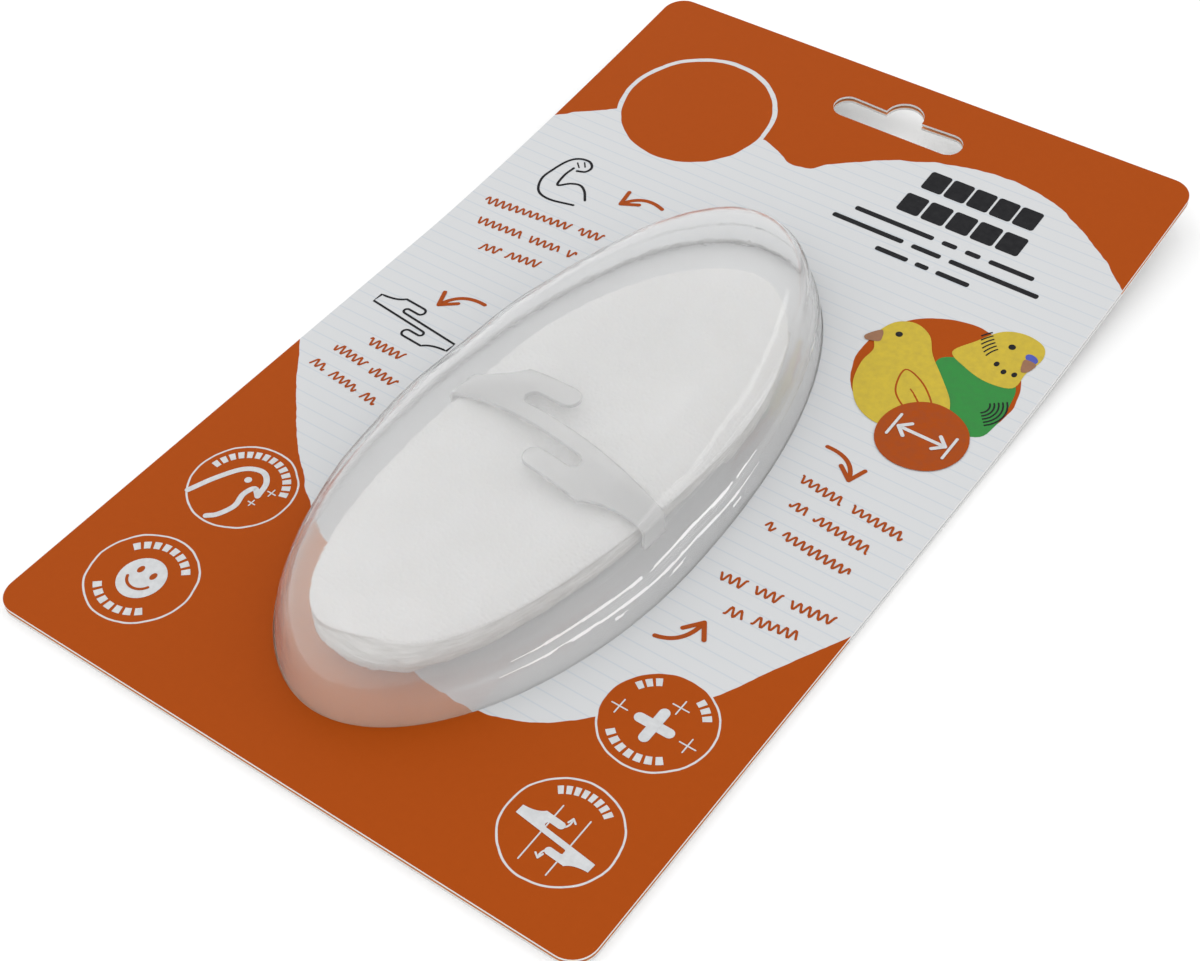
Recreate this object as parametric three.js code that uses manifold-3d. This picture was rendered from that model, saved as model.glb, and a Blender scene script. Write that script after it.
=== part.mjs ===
// A cuttlebone with its clear hanging clip, held in a clear blister on a two-leaf hanging card.
// Millimetres. +Z points out of the card's front and +Y towards the hang slot.
// The origin is on the card's back, at the centre of its outline.

import * as THREE from 'three';
import { mergeVertices } from 'three/addons/utils/BufferGeometryUtils.js';
import Module from 'manifold-3d';

const wasm = await Module();
wasm.setup();

// Card: two leaves of board that bow forwards together towards the hang slot, a little more on +X.
const CARD_WIDTH = 135;
const CARD_HEIGHT = 224;
const CARD_CORNER = 5;
const LEAF = 0.5;
const LAYER_GAP = 0.15;
const CURL_START = 16;
const CURL_RISE = 7.6;
const CURL_POWER = 1.5;
const CURL_TWIST = 0.13;

// Hang slot: a bar with round ends and a hump in its middle.
const SLOT_CENTRE = [2, 98.2];
const SLOT_LENGTH = 32.4;
const SLOT_HEIGHT = 6.6;
const SLOT_HUMP_WIDTH = 9;
const SLOT_HUMP_TOP = 7.5;

// Blister: an egg-shaped dome. Its sides lean in, and its ends are nearly upright.
const FLANGE = 0.35;
const FLANGE_REACH = 6;
const WALL = 0.45;
const DOME_HEIGHT = 18;
const DOME = {
  x: -1, y: -32, side: 36, top: 82.7, bottom: 65.2, topPower: 2.15, bottomPower: 1.95, turn: 0,
};
const SIDE_LEAN = 0.4;
const END_LEAN = 0.12;
const SIDE_POWER = 4;
const END_POWER = 6;
const DOME_LEVELS = [0, 0.14, 0.28, 0.42, 0.55, 0.67, 0.77, 0.85, 0.91, 0.955, 0.985, 0.997];
const WINDOW_CLEARANCE = 0.8;

// Cuttlebone: the same egg family, with the blunter end at the bottom.
const BONE = {
  x: 2.8, y: -11.5, side: 25, top: 46.5, bottom: 72, topPower: 1.84, bottomPower: 2.5, turn: -4,
};
const BONE_RIM = 8.6;
const BONE_CROWN = 4.2;
const BONE_UNDERSIDE = 0.85;
const CROWN_RINGS = [0.22, 0.42, 0.6, 0.75, 0.86, 0.93, 0.975, 1];
const KEEL_RINGS = [0.94, 0.84, 0.7, 0.54, 0.36, 0.18];

// Clip: an arched strip, cut to a bar with two opposite hook tongues, and bent down at both ends.
const CLIP_CENTRE = [1.7, -30];
const CLIP_TURN = -4;
const CLIP_THICKNESS = 1;
const CLIP_REACH = 26.1;
const CLIP_ARCH_TOP = 16;
const CLIP_FOLD = 9.6;
const CLIP_LEG_END = 4.6;
const CLIP_ARCH_POWER = 2.2;
const BAR_HALF = 2.2;
const HOOK_SLOT = 3.4;
const TONGUE_WIDTH = 4.8;
const TONGUE_TIP = 0.2;
const HOOK_SLOT_END = 9.9;

const SEGMENTS = 56;
const radians = THREE.MathUtils.degToRad;

const backTop = LEAF;
const flangeBottom = backTop + LAYER_GAP;
const flangeTop = flangeBottom + FLANGE;
const frontBottom = flangeTop + LAYER_GAP;
const frontTop = frontBottom + LEAF;

function curl(x, y) {
  const along = Math.max(0, (y - CURL_START) / (CARD_HEIGHT / 2 - CURL_START));
  return CURL_RISE * (1 + (CURL_TWIST * x) / CARD_WIDTH) * along ** CURL_POWER;
}

// An egg outline: two half superellipses that meet at the widest place, turned about that place.
function egg(shape, z, change = {}) {
  const side = shape.side + (change.side ?? 0);
  const points = [];
  for (let i = 0; i < SEGMENTS; i++) {
    const angle = (2 * Math.PI * i) / SEGMENTS;
    const c = Math.cos(angle);
    const s = Math.sin(angle);
    const upper = s >= 0;
    const power = upper ? shape.topPower : shape.bottomPower;
    const length = upper ? shape.top + (change.top ?? 0) : shape.bottom + (change.bottom ?? 0);
    const u = side * (change.sideScale ?? 1) * Math.sign(c) * Math.abs(c) ** (2 / power);
    const v = length * (change.endScale ?? 1) * Math.sign(s) * Math.abs(s) ** (2 / power);
    const turn = radians(shape.turn);
    const x = shape.x + u * Math.cos(turn) - v * Math.sin(turn);
    const y = shape.y + u * Math.sin(turn) + v * Math.cos(turn);
    points.push(new THREE.Vector3(x, y, z));
  }
  return points;
}

// A closed skin over rings that run from the first pole, down the outside, to the last pole.
function loft(firstPole, rings, lastPole) {
  const positions = [firstPole, ...rings.flat(), lastPole].flatMap((p) => [p.x, p.y, p.z]);
  const count = rings[0].length;
  const at = (ring, i) => 1 + ring * count + (i % count);
  const last = 1 + rings.length * count;
  const index = [];
  for (let i = 0; i < count; i++) {
    index.push(0, at(0, i), at(0, i + 1));
    index.push(last, at(rings.length - 1, i + 1), at(rings.length - 1, i));
    for (let r = 0; r < rings.length - 1; r++) {
      index.push(at(r, i), at(r + 1, i), at(r + 1, i + 1));
      index.push(at(r, i), at(r + 1, i + 1), at(r, i + 1));
    }
  }
  const geometry = new THREE.BufferGeometry();
  geometry.setAttribute('position', new THREE.Float32BufferAttribute(positions, 3));
  geometry.setIndex(index);
  return geometry;
}

function toSolid(geometry) {
  const plain = geometry.clone();
  plain.deleteAttribute('normal');
  plain.deleteAttribute('uv');
  const merged = mergeVertices(plain, 1e-4);
  const vertProperties = new Float32Array(merged.attributes.position.array);
  const triVerts = new Uint32Array(merged.index.array);
  return new wasm.Manifold(new wasm.Mesh({ numProp: 3, vertProperties, triVerts }));
}

function toGeometry(solid) {
  const mesh = solid.getMesh();
  const geometry = new THREE.BufferGeometry();
  geometry.setAttribute('position', new THREE.BufferAttribute(mesh.vertProperties, 3));
  geometry.setIndex(new THREE.BufferAttribute(mesh.triVerts, 1));
  return geometry;
}

function prism(shape, bottom, top) {
  const options = { depth: top - bottom, bevelEnabled: false, curveSegments: 10 };
  return new THREE.ExtrudeGeometry(shape, options).translate(0, 0, bottom);
}

function piece(name, geometry, colour, finish) {
  geometry.computeVertexNormals();
  const material = new THREE.MeshStandardMaterial({ color: colour, metalness: 0, ...finish });
  const mesh = new THREE.Mesh(geometry, material);
  mesh.name = name;
  return mesh;
}

// Card leaves ---------------------------------------------------------------------------------

function slotShape() {
  const end = SLOT_HEIGHT / 2;
  const reach = SLOT_LENGTH / 2 - end;
  const hump = SLOT_HUMP_WIDTH / 2;
  const shape = new THREE.Shape();
  shape.moveTo(-reach, -end);
  shape.lineTo(reach, -end);
  shape.absarc(reach, 0, end, -Math.PI / 2, Math.PI / 2, false);
  shape.lineTo(hump, end);
  shape.absarc(0, SLOT_HUMP_TOP - hump, hump, 0, Math.PI, false);
  shape.lineTo(-hump, end);
  shape.absarc(-reach, 0, end, Math.PI / 2, (3 * Math.PI) / 2, false);
  return shape;
}

function windowShape() {
  const grow = { side: WINDOW_CLEARANCE, top: WINDOW_CLEARANCE, bottom: WINDOW_CLEARANCE };
  return new THREE.Shape(egg(DOME, 0, grow).map((p) => new THREE.Vector2(p.x, p.y)));
}

// A leaf is a stack of crosswise strips: narrow ones round the corners and along the bow.
function leafStations() {
  const half = CARD_HEIGHT / 2;
  const lower = [];
  for (let i = 0; i <= 5; i++) {
    const angle = (Math.PI / 2) * (i / 5);
    const y = CARD_CORNER * (1 - Math.cos(angle)) - half;
    lower.push([y, CARD_WIDTH / 2 - CARD_CORNER * (1 - Math.sin(angle))]);
  }
  const straight = [];
  for (let y = CURL_START; y < half - CARD_CORNER - 4; y += 8) straight.push([y, CARD_WIDTH / 2]);
  const upper = lower.toReversed().map(([y, w]) => [-y, w]);
  return [...lower, ...straight, ...upper];
}

function leafGeometry(bottom) {
  const positions = [];
  const index = [];
  const stations = leafStations();
  stations.forEach(([y, w]) => {
    const left = bottom + curl(-w, y);
    const right = bottom + curl(w, y);
    positions.push(-w, y, left, w, y, right, w, y, right + LEAF, -w, y, left + LEAF);
  });
  for (let i = 0; i < stations.length - 1; i++) {
    for (let k = 0; k < 4; k++) {
      const a = 4 * i + k;
      const b = 4 * i + ((k + 1) % 4);
      index.push(a, a + 4, b, b, a + 4, b + 4);
    }
  }
  const end = 4 * (stations.length - 1);
  index.push(0, 1, 2, 0, 2, 3, end, end + 2, end + 1, end, end + 3, end + 2);
  const geometry = new THREE.BufferGeometry();
  geometry.setAttribute('position', new THREE.Float32BufferAttribute(positions, 3));
  geometry.setIndex(index);
  return geometry;
}

function cardLeaf(bottom, hasWindow) {
  const slot = prism(slotShape(), -5, 20).translate(SLOT_CENTRE[0], SLOT_CENTRE[1], 0);
  let leaf = toSolid(leafGeometry(bottom)).subtract(toSolid(slot));
  if (hasWindow) leaf = leaf.subtract(toSolid(prism(windowShape(), -5, 20)));
  return toGeometry(leaf);
}

// Blister -------------------------------------------------------------------------------------

function domeRing(level, wall) {
  const height = DOME_HEIGHT - wall;
  const z = level * height;
  const sideScale = (1 - level ** SIDE_POWER) ** (1 / SIDE_POWER);
  const endScale = (1 - level ** END_POWER) ** (1 / END_POWER);
  const side = -wall - SIDE_LEAN * z;
  const end = -wall - END_LEAN * z;
  return egg(DOME, frontTop + z, { side, top: end, bottom: end, sideScale, endScale });
}

function flangeRing(z, grow) {
  return egg(DOME, z, { side: grow, top: grow, bottom: grow });
}

function blister() {
  const outside = DOME_LEVELS.toReversed().map((level) => domeRing(level, 0));
  const inside = DOME_LEVELS.map((level) => domeRing(level, WALL));
  const crown = new THREE.Vector3(DOME.x, DOME.y, frontTop + DOME_HEIGHT);
  const ceiling = crown.clone().setZ(crown.z - WALL);
  const rings = [
    ...outside,
    flangeRing(flangeTop, 0.3),
    flangeRing(flangeTop, FLANGE_REACH),
    flangeRing(flangeBottom, FLANGE_REACH),
    flangeRing(flangeBottom, 0.3 - WALL),
    ...inside,
  ];
  for (const p of [crown, ceiling, ...rings.flat()]) p.z += curl(p.x, p.y);
  return loft(crown, rings, ceiling);
}

// Cuttlebone ----------------------------------------------------------------------------------

function boneRing(scale, z) {
  return egg(BONE, frontTop + z, { sideScale: scale, endScale: scale });
}

// The hard back is a low dome, flat in its middle and round towards its rim.
function crownRings() {
  return CROWN_RINGS.map((s) => boneRing(s, BONE_RIM + BONE_CROWN * (1 - s ** 2.2) ** (1 / 1.8)));
}

// The layered side stands below the rim and swells out at the bottom end.
function bandRings() {
  return [
    egg(BONE, frontTop + BONE_RIM - 1.2, { side: 0.3, top: 0.2, bottom: 3.6 }),
    egg(BONE, frontTop + BONE_RIM - 2.6, { side: 0.2, top: 0, bottom: 4.8 }),
    egg(BONE, frontTop + BONE_RIM - 4.6, { side: -0.9, top: -1, bottom: 4 }),
  ];
}

// The soft underside bulges most towards the top end and thins out towards the bottom end.
function keelRings() {
  const edge = BONE_RIM - 5.2;
  const depth = frontTop + edge - BONE_UNDERSIDE;
  return KEEL_RINGS.map((s) => {
    const ring = boneRing(s, edge);
    for (const p of ring) {
      const along = (p.y - BONE.y) / BONE.bottom;
      const fullness = 1 - 0.55 * Math.max(0, -along) ** 1.5;
      p.z -= depth * (1 - s ** 2) * fullness;
    }
    return ring;
  });
}

function cuttlebone() {
  const crown = new THREE.Vector3(BONE.x, BONE.y, frontTop + BONE_RIM + BONE_CROWN);
  const keel = new THREE.Vector3(BONE.x, BONE.y, BONE_UNDERSIDE);
  return loft(crown, [...crownRings(), ...bandRings(), ...keelRings()], keel);
}

// Clip ----------------------------------------------------------------------------------------

// The strip's middle line, seen from its edge: up one leg, over the arch and down the other leg.
function clipLine() {
  const shoulder = CLIP_REACH - 0.9;
  const rise = CLIP_ARCH_TOP - CLIP_FOLD;
  const arch = [];
  for (let i = -12; i <= 12; i++) {
    const u = (shoulder * i) / 12;
    const z = CLIP_ARCH_TOP - rise * Math.abs(u / CLIP_REACH) ** CLIP_ARCH_POWER;
    arch.push(new THREE.Vector2(u, z));
  }
  const leg = (side) => [
    new THREE.Vector2(side * CLIP_REACH, CLIP_LEG_END),
    new THREE.Vector2(side * CLIP_REACH, CLIP_FOLD - 1.1),
    new THREE.Vector2(side * (CLIP_REACH - 0.25), CLIP_FOLD - 0.2),
  ];
  return [...leg(-1), ...arch, ...leg(1).toReversed()];
}

// The outline that a line of even thickness fills.
function ribbonShape(line, thickness) {
  const sides = line.map((p, i) => {
    const before = line[Math.max(0, i - 1)];
    const after = line[Math.min(line.length - 1, i + 1)];
    const along = after.clone().sub(before).normalize();
    return new THREE.Vector2(-along.y, along.x).multiplyScalar(thickness / 2);
  });
  const upper = line.map((p, i) => p.clone().add(sides[i]));
  const lower = line.map((p, i) => p.clone().sub(sides[i]));
  return new THREE.Shape([...lower, ...upper.toReversed()]);
}

// Half of the clip's flat outline. The other half is the same, turned by 180 degrees.
function hookHalf(shape, sign) {
  const end = sign * (CLIP_REACH + 1);
  const slotRadius = HOOK_SLOT / 2;
  const tipRadius = TONGUE_WIDTH / 2;
  const slotMiddle = BAR_HALF + slotRadius;
  const tongueMiddle = BAR_HALF + HOOK_SLOT + tipRadius;
  const shoulder = BAR_HALF + HOOK_SLOT + TONGUE_WIDTH;
  const turn = sign > 0 ? 0 : Math.PI;
  shape.lineTo(end, sign * 0.6);
  shape.lineTo(end, -sign * 5.4);
  shape.quadraticCurveTo(sign * 18, -sign * 6.2, sign * 14.6, -sign * shoulder);
  shape.lineTo(sign * (TONGUE_TIP + tipRadius), -sign * shoulder);
  shape.absarc(sign * (TONGUE_TIP + tipRadius), -sign * tongueMiddle, tipRadius, turn - Math.PI / 2,
    turn + Math.PI / 2, true);
  shape.lineTo(sign * (HOOK_SLOT_END - slotRadius), -sign * (BAR_HALF + HOOK_SLOT));
  shape.absarc(sign * (HOOK_SLOT_END - slotRadius), -sign * slotMiddle, slotRadius, turn - Math.PI / 2,
    turn + Math.PI / 2, false);
}

function clipOutline() {
  const shape = new THREE.Shape();
  shape.moveTo(-(HOOK_SLOT_END - HOOK_SLOT / 2), BAR_HALF);
  hookHalf(shape, 1);
  hookHalf(shape, -1);
  return shape;
}

function clip() {
  const width = 30;
  const strip = prism(ribbonShape(clipLine(), CLIP_THICKNESS), -width / 2, width / 2).rotateX(Math.PI / 2);
  const flat = toSolid(prism(clipOutline(), -5, 30));
  const [x, y] = CLIP_CENTRE;
  return toGeometry(toSolid(strip).intersect(flat))
    .rotateZ(radians(CLIP_TURN))
    .translate(x, y, frontTop);
}

// Assembly ------------------------------------------------------------------------------------

const board = { roughness: 0.55 };
const clear = { roughness: 0.08, transparent: true, opacity: 0.35 };

const group = new THREE.Group();
group.add(piece('card_back', cardLeaf(0, false), 0xe9e8e4, board));
group.add(piece('card_front', cardLeaf(frontBottom, true), 0xac521a, board));
group.add(piece('blister', blister(), 0xe6eaec, clear));
group.add(piece('cuttlebone', cuttlebone(), 0xf1efe9, { roughness: 0.85 }));
group.add(piece('clip', clip(), 0xe3e7e8, clear));

export default group;
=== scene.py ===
"""Looks of a cuttlebone with its clip in a clear blister on a two-leaf hanging card.

Lengths in the tables below are millimetres. Everything is turned into metres when a mesh is made.
"""

import math
from typing import NamedTuple

import bmesh
import bpy
import numpy as np
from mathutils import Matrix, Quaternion, Vector, noise


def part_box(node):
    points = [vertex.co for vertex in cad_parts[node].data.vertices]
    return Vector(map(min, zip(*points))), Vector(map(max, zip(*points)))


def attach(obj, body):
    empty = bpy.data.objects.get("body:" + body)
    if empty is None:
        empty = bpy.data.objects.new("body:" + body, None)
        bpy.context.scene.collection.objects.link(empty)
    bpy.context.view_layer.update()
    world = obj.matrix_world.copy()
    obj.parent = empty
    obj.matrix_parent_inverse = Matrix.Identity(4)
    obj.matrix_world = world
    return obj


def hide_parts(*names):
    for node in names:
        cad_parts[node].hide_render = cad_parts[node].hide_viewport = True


MM = 0.001
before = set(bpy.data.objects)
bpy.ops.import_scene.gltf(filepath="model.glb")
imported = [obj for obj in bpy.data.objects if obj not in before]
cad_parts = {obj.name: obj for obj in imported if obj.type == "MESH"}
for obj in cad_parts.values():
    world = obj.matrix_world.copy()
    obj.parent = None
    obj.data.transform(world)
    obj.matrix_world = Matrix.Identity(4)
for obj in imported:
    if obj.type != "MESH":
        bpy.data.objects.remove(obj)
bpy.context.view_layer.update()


class Egg(NamedTuple):
    """Two half superellipses that meet at the widest place, turned about that place."""

    x: float
    y: float
    side: float
    top: float
    bottom: float
    top_power: float
    bottom_power: float
    turn: float


# From the frame: the card's outline and the heights of its leaves and of the bone's underside.
front_low, front_high = (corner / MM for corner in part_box("card_front"))
back_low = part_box("card_back")[0] / MM
bone_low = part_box("cuttlebone")[0] / MM
CARD_WIDTH = front_high.x - front_low.x
CARD_HEIGHT = front_high.y - front_low.y
CARD_CORNER = 5
LEAF = 0.5
FRONT_TOP = front_low.z + LEAF

# The card bows forwards above CURL_START, a little more on its right side.
CURL_START = 16
CURL_RISE = 7.6
CURL_POWER = 1.5
CURL_TWIST = 0.13
BOW_STEP = 2.5

SLOT_CENTRE = (2, 98.2)
SLOT_LENGTH = 32.4
SLOT_HEIGHT = 6.6
SLOT_HUMP_WIDTH = 9
SLOT_HUMP_TOP = 7.5

DOME = Egg(-1, -32, 36, 82.7, 65.2, 2.15, 1.95, 0)
DOME_HEIGHT = 18
WALL = 0.45
FLANGE = 0.35
FLANGE_GAP = 0.15
FLANGE_TOP = back_low.z + LEAF + FLANGE_GAP + FLANGE
FLANGE_REACH = 6
FOOT_RADIUS = 0.35
INNER_FOOT_RADIUS = 0.7
FOOT_SPREAD = 0.1
SIDE_LEAN = 0.4
END_LEAN = 0.12
SIDE_POWER = 4
END_POWER = 6
WINDOW_CLEARANCE = 0.2

BONE = Egg(2.8, -11.5, 25, 46.5, 72, 1.84, 2.5, -4)
BONE_RIM = 8.6
BONE_CROWN = 4.2
BONE_BAND = 4.6
BONE_KEEL = 5.0
BONE_ROUGHNESS = 0.15

# The bone's lower end reaches further left of its middle line, between these places across it.
BONE_LEFT_REACH = 4.6
BONE_LEFT_FROM = 8
BONE_LEFT_TO = -10

CLIP_CENTRE = (1.7, -30)
CLIP_TURN = -4
CLIP_THICKNESS = 1
CLIP_REACH = 26.1
CLIP_ARCH_TOP = 16
CLIP_FOLD = 9.6
CLIP_LEG_END = 4.6
CLIP_ARCH_POWER = 2.2
BAR_HALF = 2.2
HOOK_SLOT = 3.4
TONGUE_WIDTH = 4.8
TONGUE_TIP = 0.2
HOOK_SLOT_END = 9.9

# Linear colours. The print under the blister is painted lighter than the print around it, as painted
# light in place of the light that the blister holds back.
ORANGE = (0.362, 0.061, 0.003, 1)
PALE = (0.585, 0.595, 0.605, 1)
RULE_BLUE = (0.46, 0.51, 0.565, 1)
BRIGHTENED_INNER_ORANGE = (0.74, 0.30, 0.13, 1)
BRIGHTENED_INNER_PALE = (0.84, 0.85, 0.86, 1)
INK_BLACK = (0.012, 0.012, 0.014, 1)
BOARD_WHITE = (0.74, 0.735, 0.72, 1)
PLASTIC = (0.995, 0.995, 0.995, 1)

# A haze is the share of light that a plastic scatters instead of letting it through.
BLISTER_HAZE = 0.13
# The streak haze paints highlight streaks white on the right flank, in place of reflections.
STREAK_SHEEN_HAZE = 0.8
CLIP_HAZE = 0.4

# A low index keeps the plastic's reflections as faint as the photo's.
PLASTIC_IOR = 1.34
PRINT_SHINE = 0.06


# Meshes --------------------------------------------------------------------------------------


def curl(x, y):
    """How far the card bows forwards at (x, y)."""
    along = np.maximum(0, (np.asarray(y, float) - CURL_START) / (CARD_HEIGHT / 2 - CURL_START))
    return CURL_RISE * (1 + CURL_TWIST * np.asarray(x, float) / CARD_WIDTH) * along**CURL_POWER


def bow(bm):
    """Bows a flat mesh with the card, cutting it crosswise so that it bends."""
    for y in np.arange(CURL_START, CARD_HEIGHT / 2, BOW_STEP):
        everything = bm.verts[:] + bm.edges[:] + bm.faces[:]
        bmesh.ops.bisect_plane(bm, geom=everything, plane_co=(0, y, 0), plane_no=(0, 1, 0), dist=1e-5)
    for vertex in bm.verts:
        vertex.co.z += float(curl(vertex.co.x, vertex.co.y))


def add_object(name, mesh, smooth=True):
    if smooth:
        mesh.shade_smooth()
    obj = bpy.data.objects.new(name, mesh)
    bpy.context.collection.objects.link(obj)
    return obj


def egg_ring(shape, count, z, grow=(0, 0, 0), side_scale=1.0, end_scale=1.0):
    """One egg outline at height z. grow is added to the side, top and bottom lengths."""
    angle = np.linspace(0, 2 * np.pi, count, endpoint=False)
    c, s = np.cos(angle), np.sin(angle)
    upper = s >= 0
    power = np.where(upper, shape.top_power, shape.bottom_power)
    length = np.where(upper, shape.top + grow[1], shape.bottom + grow[2])
    u = (shape.side + grow[0]) * side_scale * np.sign(c) * np.abs(c) ** (2 / power)
    v = length * end_scale * np.sign(s) * np.abs(s) ** (2 / power)
    turn = math.radians(shape.turn)
    x = shape.x + u * math.cos(turn) - v * math.sin(turn)
    y = shape.y + u * math.sin(turn) + v * math.cos(turn)
    return np.stack([x, y, np.full(count, float(z))], 1)


def skin(name, first_pole, rings, last_pole):
    """A closed surface over rings that run from one pole, down the outside, to the other."""
    count = len(rings[0])
    points = np.vstack([[first_pole], *rings, [last_pole]]) * MM
    faces = []
    last = len(points) - 1
    final = 1 + (len(rings) - 1) * count
    for i in range(count):
        j = (i + 1) % count
        faces.append((0, 1 + i, 1 + j))
        faces.append((last, final + j, final + i))
        for start in range(1, final, count):
            faces.append((start + i, start + count + i, start + count + j, start + j))
    mesh = bpy.data.meshes.new(name)
    mesh.from_pydata(points.tolist(), [], faces)
    return add_object(name, mesh)


def rough(point, size, seed=0.0):
    """Smooth noise between about -1 and 1 whose bumps are about size mm apart."""
    return noise.noise(Vector(point) / size + Vector((seed, 2.3 * seed, 5.1 * seed)))


# Cuttlebone ----------------------------------------------------------------------------------

BONE_COUNT = 420
CROWN_STEPS = 70
BAND_STEPS = 40
KEEL_STEPS = 60


def bone_axes(ring):
    """Each point's place across and along the bone, from its widest place."""
    turn = math.radians(BONE.turn)
    dx, dy = ring[:, 0] - BONE.x, ring[:, 1] - BONE.y
    across = dx * math.cos(turn) + dy * math.sin(turn)
    along = dy * math.cos(turn) - dx * math.sin(turn)
    return across, along


def bone_ring(z, scale=1.0, grow=(0, 0, 0)):
    """One outline of the bone, whose lower end reaches further on its left side."""
    ring = egg_ring(BONE, BONE_COUNT, FRONT_TOP + z, grow, scale, scale)
    across, along = bone_axes(ring)
    share = np.clip((BONE_LEFT_FROM - across / scale) / (BONE_LEFT_FROM - BONE_LEFT_TO), 0, 1)
    share = share**2 * (3 - 2 * share)
    below = np.maximum(0, -along) / (BONE.bottom + grow[2])
    further = np.maximum(0, BONE_LEFT_REACH * share - grow[2]) * below
    turn = math.radians(BONE.turn)
    ring[:, 0] += further * math.sin(turn)
    ring[:, 1] -= further * math.cos(turn)
    return ring


def crown_rings():
    """The hard back: a low dome with a faint keel, two shallow furrows and fine pebbling."""
    rings = []
    for step in range(1, CROWN_STEPS + 1):
        s = math.sin(math.pi / 2 * step / CROWN_STEPS)
        ring = bone_ring(BONE_RIM + BONE_CROWN * (1 - s**2.2) ** (1 / 1.8), s)
        across, along = bone_axes(ring)
        fade = (1 - s**4) * np.clip((along + 78) / 60, 0, 1)
        narrowing = 4.5 + 2.5 * np.clip((along + 70) / 110, 0, 1)
        profile = np.exp(-((across / narrowing) ** 2)) - 0.8 * np.exp(-(((abs(across) - 8) / 4) ** 2))
        ring[:, 2] += 0.22 * fade * profile
        for p in ring:
            p[2] += 0.10 * rough(p, 9) * (1 - s**6) + 0.035 * rough(p, 1.7, 1) + 0.02 * rough(p, 0.8, 2)
        rings.append(ring)
    return rings


def band_rings():
    """The chalky layered side below the rim, with fine layers and a ragged lower edge."""
    centre = np.array([BONE.x, BONE.y])
    drop = [0, 0.25, 0.6, 1.2, 1.9, 2.6, 3.6, BONE_BAND]
    side = [0, -0.25, -0.3, 0.0, 0.2, 0.2, -0.2, -0.9]
    top = [0, -0.25, -0.3, 0.0, 0.1, 0.0, -0.4, -1.0]
    bottom = [0, 0.6, 1.7, 3.6, 4.5, 4.8, 4.6, 3.9]
    rings = []
    for step in range(1, BAND_STEPS + 1):
        d = BONE_BAND * step / BAND_STEPS
        grow = [float(np.interp(d, drop, row)) for row in (side, top, bottom)]
        ring = bone_ring(BONE_RIM - d, 1.0, grow)
        for p in ring:
            away = p[:2] - centre
            away /= np.linalg.norm(away)
            layers = rough((p[0] * 0.10, p[1] * 0.10, p[2]), 0.34, 3)
            chips = min(0, rough(p, 2.2, 4) + 0.12)
            fade = min(1, d / 0.8)
            p[:2] += away * fade * (0.13 * layers + 0.6 * chips)
            ragged = 0.8 * rough(p, 3.2, 5) + 0.45 * rough(p, 1.1, 6)
            p[2] += ragged * (d / BONE_BAND) ** 2
        rings.append(ring)
    return rings


def keel_rings():
    """The soft underside: smooth towards the top end, finely stepped towards the bottom end."""
    edge = BONE_RIM - BONE_KEEL
    depth = FRONT_TOP + edge - bone_low.z - BONE_ROUGHNESS
    rings = []
    for step in range(1, KEEL_STEPS):
        s = math.cos(math.pi / 2 * step / KEEL_STEPS) * 0.955
        ring = bone_ring(edge, s)
        across, along = bone_axes(ring)
        fullness = 1 - 0.55 * np.clip(-along / BONE.bottom, 0, 1) ** 1.5
        ring[:, 2] -= depth * (1 - s**2) * fullness
        steps = (along - across**2 / 42) / 1.25
        striped = np.clip((6 - along) / 14, 0, 1) * (1 - s**8)
        ring[:, 2] += 0.16 * striped * (steps % 1.0)
        for p in ring:
            p[2] += 0.04 * rough(p, 1.0, 7)
        rings.append(ring)
    return rings


def make_cuttlebone():
    crown = (BONE.x, BONE.y, FRONT_TOP + BONE_RIM + BONE_CROWN + 0.22)
    keel = (BONE.x, BONE.y, bone_low.z + BONE_ROUGHNESS)
    rings = crown_rings() + band_rings() + keel_rings()
    bone = skin("cuttlebone_body", crown, rings, keel)
    heights = np.array([v.co.z for v in bone.data.vertices]) / MM - FRONT_TOP
    # The part below the rim, which the bone's material paints darker as shade.
    low = np.clip((BONE_RIM + 0.05 - heights) / 0.35, 0, 1)
    shade = bone.data.attributes.new("below_rim", "FLOAT", "POINT")
    shade.data.foreach_set("value", low.astype(np.float32))
    return bone


# Blister -------------------------------------------------------------------------------------

DOME_COUNT = 360
LEDGES = (5.2, 10.6)
LEDGE_WIDTH = 0.85
LEDGE_SOFTNESS = 0.26
LEDGE_FADE = (-92, -55)

# Painted highlight streaks, white haze in place of reflections, that run along the right flank: their
# heights where they start, and their rise.
STREAKS = (2.4, 3.8, 5.6)
STREAK_RISE = 0.013
STREAK_HALF = 0.26
STREAK_START = -4
STREAK_END = -76
STREAK_FADE = 12
STREAK_BREAK = 0.3


def ledge_offset(z):
    """How far the ledges carry the wall in or out of its plain lean at height z."""
    steps = sum(LEDGE_WIDTH / (1 + math.exp(-(z - height) / LEDGE_SOFTNESS)) for height in LEDGES)
    return len(LEDGES) * LEDGE_WIDTH * z / DOME_HEIGHT - steps


def dome_ring(level, wall):
    z = level * (DOME_HEIGHT - wall)
    side = -wall - SIDE_LEAN * z
    end = -wall - END_LEAN * z
    side_scale = (1 - level**SIDE_POWER) ** (1 / SIDE_POWER)
    end_scale = (1 - level**END_POWER) ** (1 / END_POWER)
    ring = egg_ring(DOME, DOME_COUNT, FRONT_TOP + z, (side, end, end), side_scale, end_scale)
    centre = np.array([DOME.x, DOME.y])
    for p in ring:
        away = p[:2] - centre
        away /= max(1e-6, np.linalg.norm(away))
        place = (p[0], p[1], 0)
        strength = min(1, max(0, (p[1] - LEDGE_FADE[0]) / (LEDGE_FADE[1] - LEDGE_FADE[0])))
        p[:2] += away * ledge_offset(z) * strength
        dents = 0.42 * rough(place, 15, 8) + 0.05 * rough((*p[:2], z), 3.1, 9)
        p[:2] += away * min(1, z / 3) * dents
        p[2] += 0.16 * rough(place, 21, 10) * level**2
        p[2] += 0.25 * rough(place, 12, 11) * level * (1 - level)
    return ring


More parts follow.
